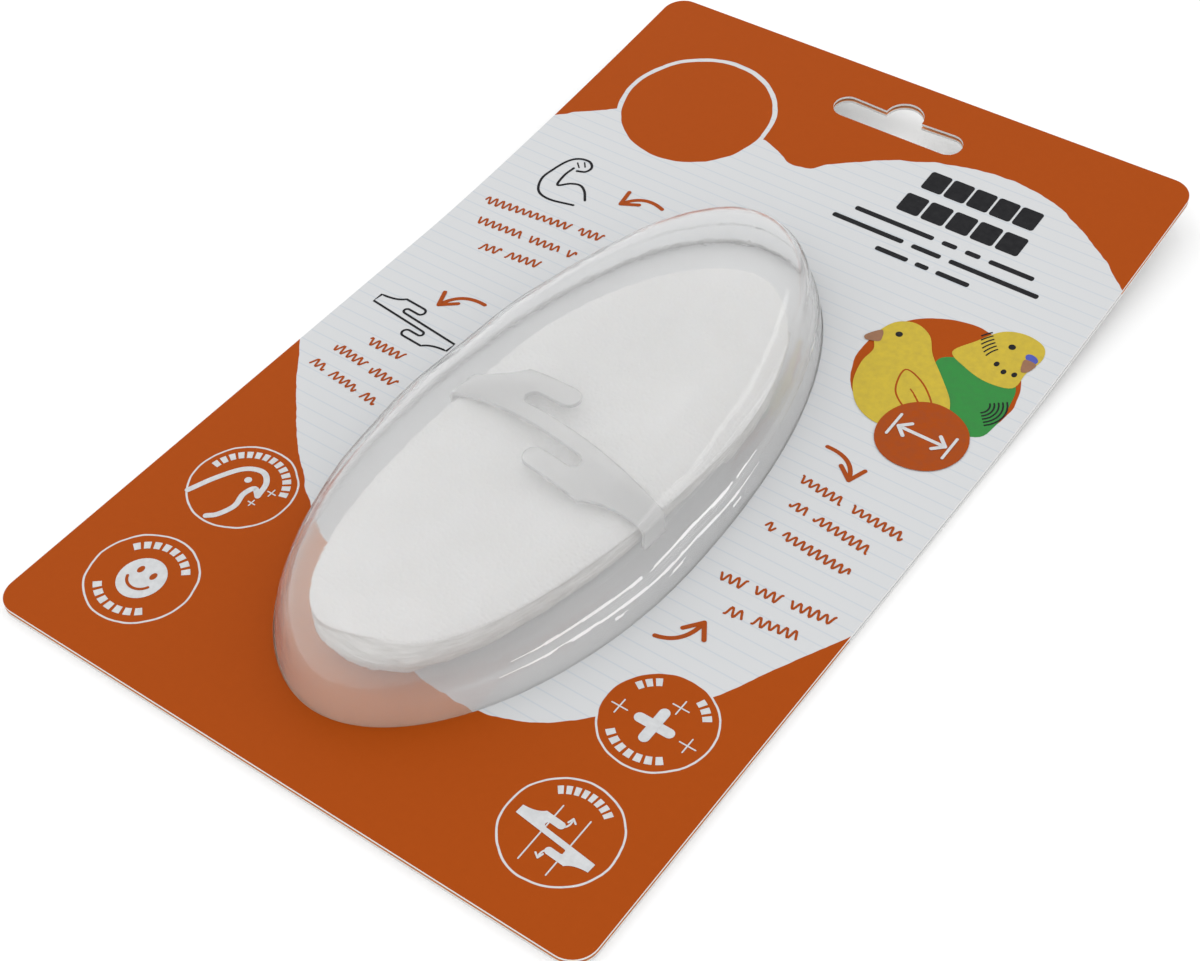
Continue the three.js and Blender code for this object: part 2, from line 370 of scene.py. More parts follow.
def in_streak(point):
    """Whether a place in mm on the dome's outside is painted white as a highlight streak, in broken runs.
    """
    x, y, z = point
    if x < DOME.x or not STREAK_END < y < STREAK_START:
        return False
    fade = min(STREAK_START - y, y - STREAK_END, STREAK_FADE) / STREAK_FADE
    for number, start in enumerate(STREAKS):
        off = abs(z - FRONT_TOP - start - STREAK_RISE * (STREAK_START - y))
        depth = 0.1 if number == 0 else 0.55
        shown = depth + 0.8 * rough((0.25 * x, 0.25 * y, z), 1.6, 14 + number)
        if off < STREAK_HALF * fade and shown > STREAK_BREAK:
            return True
    return False


def dome_levels():
    wall = np.linspace(0, 0.8, 100)
    shoulder = [math.sqrt(math.sin(a)) for a in np.linspace(math.asin(0.66), math.pi / 2 - 0.01, 44)]
    return [*wall, *shoulder]


def foot_rings(offset, fillet):
    """The rounded corner from the flange up into the dome's wall."""
    rings = []
    for angle in np.linspace(0, math.pi / 2, 7)[:-1]:
        grow = offset + fillet * (1 - math.sin(angle)) + FOOT_SPREAD
        z = FLANGE_TOP + fillet * (1 - math.cos(angle)) * 0.8
        rings.append((grow, z))
    return rings


def make_blister():
    levels = dome_levels()
    outside = [dome_ring(level, 0) for level in reversed(levels)]
    inside = [dome_ring(level, WALL) for level in levels[::2]]
    foot = [egg_ring(DOME, DOME_COUNT, z, (g,) * 3) for g, z in foot_rings(0, FOOT_RADIUS)]
    under_foot = [egg_ring(DOME, DOME_COUNT, z - FLANGE, (g,) * 3)
                  for g, z in foot_rings(-WALL, INNER_FOOT_RADIUS)]
    edge = [egg_ring(DOME, DOME_COUNT, z, (FLANGE_REACH,) * 3) for z in (FLANGE_TOP, FLANGE_TOP - FLANGE)]
    crown = np.array([DOME.x, DOME.y, FRONT_TOP + DOME_HEIGHT])
    crown[2] += 0.16 * rough((DOME.x, DOME.y, 0), 21, 10)
    ceiling = crown - (0, 0, WALL)
    rings = [*outside, *reversed(foot), *edge, *under_foot, *inside]
    for ring in rings:
        ring[:, 2] += curl(ring[:, 0], ring[:, 1])
    blister = skin("blister_dome", crown, rings, ceiling)
    for face in blister.data.polygons:
        ring = (face.vertices[0] - 1) // DOME_COUNT
        # Faces in the painted highlight streaks take the second, hazy white material.
        if ring < len(outside) and in_streak(face.center / MM):
            face.material_index = 1
    return blister


# Clip ----------------------------------------------------------------------------------------


def arc(centre, radius, start, stop, steps=10):
    """Points on an arc, with its angles in degrees."""
    angles = np.radians(np.linspace(start, stop, steps + 1))
    return [(centre[0] + radius * math.cos(a), centre[1] + radius * math.sin(a)) for a in angles]


def bezier(a, b, c, steps=12):
    """Points on a quadratic curve from a to c that leans towards b."""
    a, b, c = (np.array(p, float) for p in (a, b, c))
    ts = np.linspace(0, 1, steps + 1)
    return [tuple((1 - t) ** 2 * a + 2 * t * (1 - t) * b + t * t * c) for t in ts]


def clip_outline():
    """The clip's flat outline: a bar with a hook tongue on each side, alike when turned round."""
    end = CLIP_REACH + 1
    slot_radius = HOOK_SLOT / 2
    tip = TONGUE_WIDTH / 2
    slot_middle = BAR_HALF + slot_radius
    tongue_middle = BAR_HALF + HOOK_SLOT + tip
    shoulder = BAR_HALF + HOOK_SLOT + TONGUE_WIDTH
    half = [(end, 0.6), (end, -5.4)]
    half += bezier((end, -5.4), (18, -6.2), (14.6, -shoulder))[1:]
    half += arc((TONGUE_TIP + tip, -tongue_middle), tip, -90, -270, 16)
    half += arc((HOOK_SLOT_END - slot_radius, -slot_middle), slot_radius, -90, 90, 14)
    return half + [(-u, -v) for u, v in half]


def clip_middle_line():
    """The strip's middle line from the crown of its arch to the end of one leg, with its length."""
    shoulder = CLIP_REACH - 0.9
    rise = CLIP_ARCH_TOP - CLIP_FOLD
    line = [(u, CLIP_ARCH_TOP - rise * (u / CLIP_REACH) ** CLIP_ARCH_POWER)
            for u in np.linspace(0, shoulder, 60)]
    line += bezier(line[-1], (CLIP_REACH, CLIP_FOLD + 0.1), (CLIP_REACH, CLIP_FOLD - 1.1), 12)[1:]
    line += [(CLIP_REACH, z) for z in np.linspace(CLIP_FOLD - 1.3, CLIP_LEG_END, 14)]
    line = np.array(line)
    length = np.concatenate([[0], np.cumsum(np.linalg.norm(np.diff(line, axis=0), axis=1))])
    return line, length, shoulder


def bend_clip(points):
    """Takes flat points (u, v, w) to the arched strip. w is through the thickness."""
    line, length, shoulder = clip_middle_line()
    fold_at = float(np.interp(shoulder, line[:60, 0], length[:60]))
    u, v, w = points.T
    reach = np.abs(u)
    on_arch = np.interp(reach, line[:60, 0], length[:60])
    on_leg = fold_at + (reach - shoulder) / (CLIP_REACH + 1 - shoulder) * (length[-1] - fold_at)
    place = np.where(reach <= shoulder, on_arch, on_leg)
    along = np.gradient(line, length, axis=0)
    x = np.interp(place, length, line[:, 0])
    z = np.interp(place, length, line[:, 1])
    tx = np.interp(place, length, along[:, 0])
    tz = np.interp(place, length, along[:, 1])
    size = np.hypot(tx, tz)
    x = (x - w * tz / size) * np.sign(u)
    z = z + w * tx / size
    return np.stack([x, v, z], 1)


def make_clip():
    bm = bmesh.new()
    bm.faces.new([bm.verts.new((u, v, -CLIP_THICKNESS / 2)) for u, v in clip_outline()])
    bmesh.ops.triangulate(bm, faces=bm.faces[:], ngon_method="EAR_CLIP")
    caps = bm.faces[:]
    grown = bmesh.ops.extrude_face_region(bm, geom=caps)["geom"]
    risen = [g for g in grown if isinstance(g, bmesh.types.BMVert)]
    bmesh.ops.translate(bm, verts=risen, vec=(0, 0, CLIP_THICKNESS))
    bmesh.ops.recalc_face_normals(bm, faces=bm.faces[:])
    sharp = [e for e in bm.edges if e.calc_face_angle(0) > 1.2]
    bmesh.ops.bevel(bm, geom=sharp, offset=0.22, segments=3, profile=0.5, affect="EDGES")
    for u in np.arange(-26.4, 26.5, 0.8):
        everything = bm.verts[:] + bm.edges[:] + bm.faces[:]
        bmesh.ops.bisect_plane(bm, geom=everything, plane_co=(u, 0, 0), plane_no=(1, 0, 0), dist=1e-5)
    flat = np.array([v.co for v in bm.verts])
    bent = bend_clip(flat)
    turn = math.radians(CLIP_TURN)
    for vertex, (x, y, z) in zip(bm.verts, bent):
        vertex.co = Vector((
            CLIP_CENTRE[0] + x * math.cos(turn) - y * math.sin(turn),
            CLIP_CENTRE[1] + x * math.sin(turn) + y * math.cos(turn),
            FRONT_TOP + z,
        )) * MM
    mesh = bpy.data.meshes.new("clip_body")
    bm.to_mesh(mesh)
    bm.free()
    clip = add_object("clip_body", mesh)
    mesh.set_sharp_from_angle(angle=math.radians(40))
    return clip


# Card ----------------------------------------------------------------------------------------


def rounded_rectangle(width, height, corner):
    x, y = width / 2 - corner, height / 2 - corner
    corners = [((x, -y), -90), ((x, y), 0), ((-x, y), 90), ((-x, -y), 180)]
    return [p for centre, start in corners for p in arc(centre, corner, start, start + 90, 10)]


def slot_outline():
    end = SLOT_HEIGHT / 2
    reach = SLOT_LENGTH / 2 - end
    hump = SLOT_HUMP_WIDTH / 2
    points = arc((reach, 0), end, -90, 90, 14)
    points += arc((0, SLOT_HUMP_TOP - hump), hump, 0, 180, 14)
    points += arc((-reach, 0), end, 90, 270, 14)
    return [(x + SLOT_CENTRE[0], y + SLOT_CENTRE[1]) for x, y in points]


def add_loop(bm, points):
    verts = [bm.verts.new((x, y, LEAF)) for x, y in points]
    for a, b in zip(verts, verts[1:] + verts[:1]):
        bm.edges.new((a, b))


def make_leaf(name, bottom, has_window):
    """A leaf of board with its holes, bowed with the card. Material 0 is its upper face."""
    bm = bmesh.new()
    add_loop(bm, rounded_rectangle(CARD_WIDTH, CARD_HEIGHT, CARD_CORNER))
    add_loop(bm, slot_outline())
    if has_window:
        add_loop(bm, egg_ring(DOME, 240, 0, (WINDOW_CLEARANCE,) * 3)[:, :2])
    bmesh.ops.triangle_fill(bm, use_beauty=True, edges=bm.edges[:], normal=(0, 0, 1))
    bow(bm)
    grown = bmesh.ops.extrude_face_region(bm, geom=bm.faces[:])["geom"]
    sunk = [g for g in grown if isinstance(g, bmesh.types.BMVert)]
    bmesh.ops.translate(bm, verts=sunk, vec=(0, 0, -LEAF))
    bmesh.ops.recalc_face_normals(bm, faces=bm.faces[:])
    for face in bm.faces:
        face.material_index = 0 if face.normal.z > 0.5 else 1
    for vertex in bm.verts:
        vertex.co.z += bottom
        vertex.co *= MM
    mesh = bpy.data.meshes.new(name)
    bm.to_mesh(mesh)
    bm.free()
    leaf = add_object(name, mesh)
    mesh.set_sharp_from_angle(angle=math.radians(30))
    return leaf


# Print marks ---------------------------------------------------------------------------------

# The order of the inks in INK_COLOURS.
ORANGE_INK, BLACK_INK, PALE_INK, YELLOW_INK, GREEN_INK, BLUE_INK, HORN_INK = range(7)
INK_LIFT = 0.03
LINE_LIFT = 0.0003

# Lines of placeholder writing: where each starts and ends, and how long its words are.
HAND_LINES = [
    ((-63.2, 31.2), (-33.8, 34.4), (11, 3)),
    ((-60.4, 25.0), (-35.6, 26.8), (6, 4, 1)),
    ((-54.6, 18.4), (-40.4, 20.2), (3, 5)),
    ((-55.2, -18.4), (-46.2, -18.6), (4,)),
    ((-59.6, -23.6), (-42.4, -25.6), (5, 4)),
    ((-60.8, -29.6), (-42.2, -32.0), (2, 4, 2)),
    ((39.4, -1.6), (63.2, -4.0), (5, 6)),
    ((41.4, -8.2), (59.6, -10.4), (2, 7)),
    ((40.4, -15.4), (59.4, -17.2), (1, 8)),
    ((40.2, -30.9), (63.2, -28.6), (3, 3, 5)),
    ((45.6, -37.2), (59.6, -35.2), (2, 5)),
]
HAND_WAVE = 1.75
HAND_HEIGHT = 1.0
HAND_STROKE = 0.5
TITLE_LINES = [((16.9, 86.3), (43.0, 86.3), 5), ((15.6, 78.0), (43.8, 78.0), 5)]
TITLE_HEIGHT = 5.8
SMALL_LINES = [
    ((7.6, 71.1), (50.6, 71.1), (11, 2, 2, 6)),
    ((4.4, 67.0), (53.8, 67.0), (10, 4, 12)),
    ((17.6, 62.7), (40.0, 62.7), (5, 2, 5)),
]
SMALL_HEIGHT = 1.3
ARROWS = [
    ((-28.1, 48.9), (-34.0, 51.0), (-36.9, 45.6)),
    ((-42.1, 3.6), (-48.5, 4.2), (-50.2, -1.8)),
    ((39.1, 8.5), (45.5, 8.8), (47.2, 3.0)),
    ((38.4, -49.5), (43.8, -48.4), (44.1, -42.0)),
]
ARROW_STROKE = 0.95
ARROW_BARB = 4.1


class Marks:
    """Flat ink shapes on the card's face. Each shape lies at the height of its level, and each face of a
    shape a little above the one before it.
    """

    def __init__(self):
        self.bm = bmesh.new()
        self.level = 0
        self.faces_in_shape = 0

    def start_shape(self, level):
        self.level = level
        self.faces_in_shape = 0

    def face(self, points, ink):
        z = INK_LIFT * (1 + self.level) + LINE_LIFT * self.faces_in_shape
        self.faces_in_shape += 1
        face = self.bm.faces.new([self.bm.verts.new((x, y, z)) for x, y in points])
        face.material_index = ink

    def fill(self, points, ink, level=0):
        self.start_shape(level)
        self.face(points, ink)

    def stroke(self, points, width, ink, level=0, closed=False):
        """A line of even width with round ends."""
        self.start_shape(level)
        path = np.array(points, float)
        if closed:
            path = np.vstack([path, path[:1]])
        along = np.gradient(path, axis=0)
        if closed:
            along[0] = along[-1] = path[1] - path[-2]
        along /= np.linalg.norm(along, axis=1)[:, None]
        side = np.stack([-along[:, 1], along[:, 0]], 1) * width / 2
        left, right = path + side, path - side
        for i in range(len(path) - 1):
            self.face([right[i], right[i + 1], left[i + 1], left[i]], ink)
        if not closed:
            for end, turn in ((0, 90), (-1, -90)):
                heading = math.degrees(math.atan2(along[end][1], along[end][0]))
                self.face(arc(path[end], width / 2, heading + turn, heading + turn + 180, 8), ink)


def ellipse(centre, rx, ry, turn=0.0, count=40):
    a = math.radians(turn)
    points = [(rx * math.cos(t), ry * math.sin(t)) for t in np.linspace(0, 2 * math.pi, count + 1)[:-1]]
    return [(centre[0] + x * math.cos(a) - y * math.sin(a), centre[1] + x * math.sin(a) + y * math.cos(a))
            for x, y in points]


def smooth(points, closed=True, steps=6):
    """A rounded curve through the points."""
    p = [np.array(q, float) for q in points]
    count = len(p)
    last = count if closed else count - 1
    curve = []
    for i in range(last):
        before = p[(i - 1) % count] if closed or i else 2 * p[0] - p[1]
        after = p[(i + 2) % count] if closed or i + 2 < count else 2 * p[-1] - p[-2]
        a, b = p[i], p[(i + 1) % count]
        for t in np.linspace(0, 1, steps, endpoint=False):
            curve.append(0.5 * (2 * a + (b - before) * t + (2 * before - 5 * a + 4 * b - after) * t**2
                                + (3 * a - before - 3 * b + after) * t**3))
    if not closed:
        curve.append(p[-1])
    return [tuple(q) for q in curve]


def block(start, end, height, corner=0.4):
    """A bar with rounded corners along the line from start to end."""
    a, b = np.array(start, float), np.array(end, float)
    length = np.linalg.norm(b - a)
    along = (b - a) / length
    side = np.array([-along[1], along[0]])
    points = rounded_rectangle(length, height, corner)
    return [tuple((a + b) / 2 + along * x + side * y) for x, y in points]


def words(start, end, lengths):
    """Start and end of each word when the words fill the line, with a gap between them."""
    a, b = np.array(start, float), np.array(end, float)
    total = sum(lengths) + 1.2 * (len(lengths) - 1)
    place = 0
    for length in lengths:
        yield a + (b - a) * place / total, a + (b - a) * (place + length) / total
        place += length + 1.2


def write_by_hand(marks, start, end, phase):
    """A wavy stroke in place of a handwritten word."""
    length = np.linalg.norm(end - start)
    along = (end - start) / length
    side = np.array([-along[1], along[0]])
    path = []
    for t in np.linspace(0, length, max(8, int(length / 0.17))):
        height = HAND_HEIGHT * (1 + 0.35 * rough((t + 7 * phase, phase, 0), 2.4, 12))
        path.append(start + along * t + side * height * math.sin(2 * math.pi * (t / HAND_WAVE + phase)))
    marks.stroke(path, HAND_STROKE, ORANGE_INK)


def add_writing(marks):
    for number, (start, end, lengths) in enumerate(HAND_LINES):
        for a, b in words(start, end, lengths):
            write_by_hand(marks, a, b, 0.37 * number)
    for start, end, letters in TITLE_LINES:
        for a, b in words(start, end, (3,) * letters):
            marks.fill(block(a - (0.55, 0), b + (0.55, 0), TITLE_HEIGHT, 0.7), BLACK_INK)
    for start, end, lengths in SMALL_LINES:
        for a, b in words(start, end, lengths):
            marks.fill(block(a, b, SMALL_HEIGHT, 0.5), BLACK_INK)


def add_arrow(marks, start, lean, tip, stroke=ARROW_STROKE, barb=ARROW_BARB, ink=ORANGE_INK):
    marks.stroke(bezier(start, lean, tip, 14), stroke, ink)
    heading = math.atan2(tip[1] - lean[1], tip[0] - lean[0])
    for spread in (-0.62, 0.62):
        back = heading + math.pi + spread
        end = (tip[0] + barb * math.cos(back), tip[1] + barb * math.sin(back))
        marks.stroke([tip, end], stroke, ink, 1 if spread < 0 else 2)


def small_clip(centre, scale, turn):
    a = math.radians(turn)
    return [(centre[0] + scale * (u * math.cos(a) - v * math.sin(a)),
             centre[1] + scale * (u * math.sin(a) + v * math.cos(a))) for u, v in clip_outline()]


def add_plus(marks, centre, size, stroke, ink=PALE_INK):
    x, y = centre
    marks.stroke([(x - size / 2, y), (x + size / 2, y)], stroke, ink)
    marks.stroke([(x, y - size / 2), (x, y + size / 2)], stroke, ink, 1)


def add_arc_writing(marks, centre, radius, start, stop, letters):
    """Small blocks round part of a badge, in place of its lettering."""
    step = (stop - start) / letters
    for i in range(letters):
        a = start + i * step
        inner = arc(centre, radius - 0.85, a, a + 0.68 * step, 3)
        outer = arc(centre, radius + 0.85, a, a + 0.68 * step, 3)
        marks.fill(inner + outer[::-1], PALE_INK)


def add_bird_head_badge(marks, centre):
    x, y = centre
    crown = [(-8.2, -6.6), (-6.0, -1.2), (-3.0, 3.7), (0.6, 5.2), (3.2, 3.4), (4.2, -0.2)]
    throat = [(4.2, -0.2), (2.3, 1.0), (1.5, -1.4), (2.2, -4.6), (1.0, -8.0), (-0.6, -9.6)]
    for line in (crown, throat):
        marks.stroke(smooth([(x + a, y + b) for a, b in line], closed=False), 1.2, PALE_INK)
    marks.fill(ellipse((x - 0.3, y + 2.0), 0.75, 0.75), PALE_INK)
    add_plus(marks, (x + 5.9, y + 1.9), 1.9, 0.28)
    add_plus(marks, (x + 4.4, y - 2.2), 1.6, 0.28)
    add_arc_writing(marks, centre, 8.6, 172, 12, 14)


def add_smile_badge(marks, centre):
    x, y = centre
    marks.fill(ellipse(centre, 4.7, 5.0), PALE_INK)
    for dx in (-1.6, 1.6):
        marks.fill(ellipse((x + dx, y + 1.5), 0.62, 0.9), ORANGE_INK, 1)
    marks.stroke(arc((x, y + 0.2), 2.9, 205, 335, 14), 0.6, ORANGE_INK, 1)
    add_arc_writing(marks, centre, 8.2, 145, 35, 8)
    add_arc_writing(marks, centre, 8.2, 220, 320, 7)


def add_plus_badge(marks, centre):
    x, y = centre
    marks.stroke([(x - 3.1, y - 1.0), (x + 3.1, y - 1.0)], 2.1, PALE_INK)
    marks.stroke([(x, y - 4.1), (x, y + 2.1)], 2.1, PALE_INK, 1)
    for dx, dy in ((-7.4, -1.0), (7.2, -1.4), (1.7, 4.7)):
        add_plus(marks, (x + dx, y + dy), 3.3, 0.28)
    add_arc_writing(marks, centre, 8.6, 150, 115, 3)
    add_arc_writing(marks, centre, 8.6, 65, 30, 3)
    add_arc_writing(marks, centre, 8.4, 225, 315, 7)


def add_clip_badge(marks, centre):
    x, y = centre
    for dx in (-2.7, 3.0):
        marks.stroke([(x + dx, y - 8.2), (x + dx, y + 4.4)], 0.28, PALE_INK)
    marks.fill(small_clip((x, y - 1.6), 0.315, -4), PALE_INK, 1)
    add_arrow(marks, (x - 0.6, y + 0.6), (x + 0.9, y + 1.4), (x + 0.3, y + 3.2), 0.35, 1.1, PALE_INK)
    add_arrow(marks, (x + 1.0, y - 3.6), (x - 0.7, y - 4.6), (x - 0.1, y - 6.3), 0.35, 1.1, PALE_INK)
    add_arc_writing(marks, centre, 8.4, 130, 50, 8)


def add_left_pictures(marks):
    """A bent arm and the clip's outline, in black line."""
    arm = [(-45.6, 39.8), (-51.3, 38.6), (-55.0, 39.6), (-56.9, 43.3), (-56.5, 47.2), (-55.4, 51.0),
           (-53.6, 53.0), (-51.0, 53.4), (-49.4, 52.0), (-49.8, 50.2), (-51.6, 49.4)]
    inner = [(-52.8, 49.8), (-53.2, 46.8), (-52.6, 43.4), (-50.4, 45.2), (-48.2, 45.9), (-46.2, 44.8),
             (-44.3, 42.4)]
    for line in (arm, inner):
        marks.stroke(smooth(line, closed=False), 0.6, BLACK_INK)
    marks.stroke([(-50.8, 51.4), (-51.8, 52.6)], 0.35, BLACK_INK)
    marks.stroke([(-51.9, 50.6), (-53.1, 51.7)], 0.35, BLACK_INK)
    marks.stroke(small_clip((-51.1, -9.0), 0.42, -4), 0.55, BLACK_INK, closed=True)


def add_birds(marks):
    """Two plain birds on the orange disc: a green one behind a yellow one."""
    green = [(45.0, 40.6), (48.0, 43.6), (53.4, 44.0), (61.2, 43.2), (63.2, 37.6), (63.4, 31.2),
             (61.6, 26.6), (53.0, 25.4), (48.4, 33.4)]
    hood = [(46.4, 44.6), (49.0, 49.6), (52.2, 54.6), (56.6, 56.4), (61.2, 55.4), (62.8, 52.0),
            (61.8, 47.0), (61.4, 42.0), (56.0, 40.8), (50.4, 42.2)]
    budgie_beak = [(59.9, 50.2), (62.4, 50.0), (62.0, 47.6), (60.8, 46.8), (60.0, 48.4)]
    marks.fill(smooth(green), GREEN_INK)
    marks.fill(smooth(hood), YELLOW_INK, 1)
    for i in range(6):
        bar = arc((58.6, 46.2), 6.0 + 0.95 * i, 143 - i, 170 - 4 * i, 8)
        marks.stroke(bar, 0.34, BLACK_INK, 2)
    for i in range(5):
        bar = arc((58.0, 34.6), 2.2 + 0.85 * i, -50, 38, 8)
        marks.stroke(bar, 0.34, BLACK_INK, 2)
    marks.fill(ellipse((56.0, 51.9), 0.75, 0.75), BLACK_INK, 2)
    marks.fill(ellipse((60.9, 51.0), 1.5, 1.0, -20), BLUE_INK, 2)
    marks.fill(smooth(budgie_beak), HORN_INK, 3)
    for spot in ((55.6, 46.2), (57.8, 45.0), (60.0, 45.4)):
        marks.fill(ellipse(spot, 0.55, 0.7), BLACK_INK, 2)
    yellow = [(30.8, 40.6), (32.4, 45.6), (36.2, 47.6), (40.4, 46.0), (43.6, 41.6), (48.4, 37.0),
              (53.0, 32.0), (54.2, 27.0), (50.0, 21.4), (43.6, 19.4), (38.0, 21.4), (34.0, 26.4),
              (32.4, 32.4), (32.6, 36.8)]
    marks.fill(smooth(yellow), YELLOW_INK, 3)
    wing = [(41.0, 35.2), (46.0, 33.6), (51.0, 28.6), (52.2, 24.0), (46.8, 25.6), (42.2, 29.2)]
    marks.stroke(smooth(wing), 0.36, ORANGE_INK, 4, closed=True)
    for i in range(3):
        root = (44.6 + 1.5 * i, 31.0 - 1.1 * i)
        lean = (47.4 + i, 29.4 - i)
        tip = (49.6 + 0.7 * i, 26.2 - 0.4 * i)
        marks.stroke(bezier(root, lean, tip, 6), 0.3, ORANGE_INK, 4)
    canary_beak = [(31.4, 42.4), (29.2, 39.6), (29.6, 38.4), (31.0, 38.6), (32.6, 39.6)]
    marks.fill(smooth(canary_beak), HORN_INK, 4)
    marks.fill(ellipse((34.9, 43.1), 0.75, 0.75), BLACK_INK, 4)


def add_length_mark(marks):
    """A double arrow on the small disc, in place of a written length."""
    x, y, reach = 52.9, 21.0, 5.2
    edge = []
    for px, py in ellipse((0, 0), 1, 1, count=48):
        wide = 9.2 + 0.3 * rough((px, py, 0), 3.1, 13)
        high = 9.4 + 0.3 * rough((px, py, 1), 0.9, 13)
        edge.append((x + wide * px, y + high * py))
    marks.fill(edge, ORANGE_INK, 5)
    marks.stroke([(x - reach, y), (x + reach, y)], 0.8, PALE_INK, 6)
    for sign in (-1, 1):
        tip = (x + sign * reach, y)
        for up in (-1, 1):
            marks.stroke([tip, (tip[0] - sign * 2.0, y + 1.9 * up)], 0.8, PALE_INK, 7 if up > 0 else 8)
        marks.stroke([(tip[0] + sign * 1.0, y - 3.0), (tip[0] + sign * 1.0, y + 3.0)], 0.6, PALE_INK, 9)


def make_marks():
    marks = Marks()
    add_writing(marks)
    for start, lean, tip in ARROWS:
        add_arrow(marks, start, lean, tip)
    add_left_pictures(marks)
    add_birds(marks)
    add_length_mark(marks)
    bird, smile, clip, plus = (badge[:2] for badge in BADGES)
    add_bird_head_badge(marks, bird)
    add_smile_badge(marks, smile)
    add_clip_badge(marks, clip)
    add_plus_badge(marks, plus)
    bm = marks.bm
    bm.normal_update()
    bmesh.ops.reverse_faces(bm, faces=[f for f in bm.faces if f.normal.z < 0])
    bmesh.ops.triangulate(bm, faces=bm.faces[:], ngon_method="EAR_CLIP")
    bow(bm)
    for vertex in bm.verts:
        vertex.co.z += FRONT_TOP
        vertex.co *= MM
    mesh = bpy.data.meshes.new("print_marks")
    bm.to_mesh(mesh)
    bm.free()
    return add_object("print_marks", mesh, smooth=False)


# Materials -----------------------------------------------------------------------------------


class Graph:
    """A material's node tree, with one short call for each kind of node."""

    def __init__(self, name, **surface):
        self.material = bpy.data.materials.new(name)
        self.material.use_nodes = True
        self.tree = self.material.node_tree
        self.surface = self.tree.nodes["Principled BSDF"]
        for key, value in surface.items():
            self.feed(self.surface, key.replace("_", " "), value)

    def feed(self, node, key, value):
        socket = node.inputs[key]
        if isinstance(value, bpy.types.NodeSocket):
            self.tree.links.new(value, socket)
        else:
            socket.default_value = value

    def add(self, kind, settings=(), **inputs):
        node = self.tree.nodes.new("ShaderNode" + kind)
        for key, value in dict(settings).items():
            setattr(node, key, value)
        for key, value in inputs.items():
            self.feed(node, key.replace("_", " "), value)
        return node

    def math(self, operation, *values, clamp=False):
        node = self.add("Math", {"operation": operation, "use_clamp": clamp})
        for i, value in enumerate(values):
            self.feed(node, i, value)
        return node.outputs[0]

    def mix(self, factor, a, b):
        node = self.add("Mix", {"data_type": "RGBA"})
        for key, value in ((0, factor), (6, a), (7, b)):
            self.feed(node, key, value)
        return node.outputs[2]

    def noise(self, place, scale, detail=3.0, roughness=0.5):
        node = self.add("TexNoise", Vector=place, Scale=scale, Detail=detail, Roughness=roughness)
        return node.outputs["Fac"]

    def place(self):
        """The point's place in millimetres."""
        coordinates = self.add("TexCoord").outputs["Object"]
        node = self.add("VectorMath", {"operation": "SCALE"}, Vector=coordinates)
        self.feed(node, "Scale", 1 / MM)
        return node.outputs[0]

    def stretch(self, place, factors):
        node = self.add("VectorMath", {"operation": "MULTIPLY"})
        self.feed(node, 0, place)
        self.feed(node, 1, factors)
        return node.outputs[0]

    def step(self, distance, softness=0.08):
        """1 where distance is above 0, 0 below, with an edge softness mm wide."""
        return self.math("MULTIPLY_ADD", distance, 1 / softness, 0.5, clamp=True)

    def bump(self, height, strength, distance):
        node = self.add("Bump", Height=height, Strength=strength, Distance=distance * MM)
        self.feed(self.surface, "Normal", node.outputs[0])

    def ramp(self, factor, low, high):
        """factor taken from low..high to 0..1."""
        node = self.add("MapRange", Value=factor)
        self.feed(node, "From Min", low)
        self.feed(node, "From Max", high)
        return node.outputs[0]


def bone_material():
    g = Graph("bone_chalk", Roughness=0.82)
    g.feed(g.surface, "Subsurface Weight", 0.12)
    g.feed(g.surface, "Subsurface Radius", (1.0, 0.9, 0.8))
    g.feed(g.surface, "Subsurface Scale", 0.0012)
    place = g.place()
    low = g.add("Attribute", {"attribute_name": "below_rim"}).outputs["Fac"]
    cloud = g.ramp(g.noise(place, 0.12, 4), 0.3, 0.7)
    hard = g.mix(cloud, (0.92, 0.915, 0.90, 1), (0.96, 0.957, 0.95, 1))
    layers = g.noise(g.stretch(place, (0.25, 0.25, 6.0)), 0.9, 5, 0.6)
    # Below the rim the bone is painted darker than its top: painted shade on the side and underside, over
    # their real layered tone.
    shaded_chalk = g.mix(g.ramp(layers, 0.32, 0.66), (0.64, 0.63, 0.605, 1), (0.82, 0.81, 0.79, 1))
    g.feed(g.surface, "Base Color", g.mix(low, hard, shaded_chalk))
    pebbles = g.add("TexVoronoi", Vector=place, Scale=1.35).outputs["Distance"]
    grain = g.noise(place, 5.0, 4, 0.6)
    hard_relief = g.math("MULTIPLY_ADD", pebbles, -0.7, g.math("MULTIPLY", grain, 0.5))
    chalk_relief = g.math("MULTIPLY_ADD", layers, 1.4, g.math("MULTIPLY", grain, 0.6))
    relief = g.add("Mix", {"data_type": "FLOAT"})
    for key, value in ((0, low), (2, hard_relief), (3, chalk_relief)):
        g.feed(relief, key, value)
    g.bump(relief.outputs[0], 0.8, 0.3)
    return g.material


def clear_material(name, roughness, haze):
    """Clear plastic: plain transmission with a share of haze and a faintly uneven gloss."""
    g = Graph(name, Roughness=roughness, IOR=PLASTIC_IOR)
    g.feed(g.surface, "Base Color", PLASTIC)
    g.feed(g.surface, "Transmission Weight", 1 - haze)
    place = g.place()
    ripple = g.noise(place, 0.16, 3, 0.5)
    scuff = g.noise(g.stretch(place, (1.0, 0.22, 1.0)), 1.6, 4, 0.6)
    height = g.math("MULTIPLY_ADD", scuff, 0.12, ripple)
    g.bump(height, 0.35, 0.35)
    return g.material


def board_material(name, colour):
    g = Graph(name, Roughness=0.75)
    place = g.place()
    fibre = g.noise(g.stretch(place, (1, 2.6, 1)), 1.1, 5, 0.65)
    dark = tuple(0.93 * c for c in colour[:3]) + (1,)
    g.feed(g.surface, "Base Color", g.mix(g.ramp(fibre, 0.3, 0.7), dark, colour))
    g.bump(fibre, 0.25, 0.06)
    return g.material


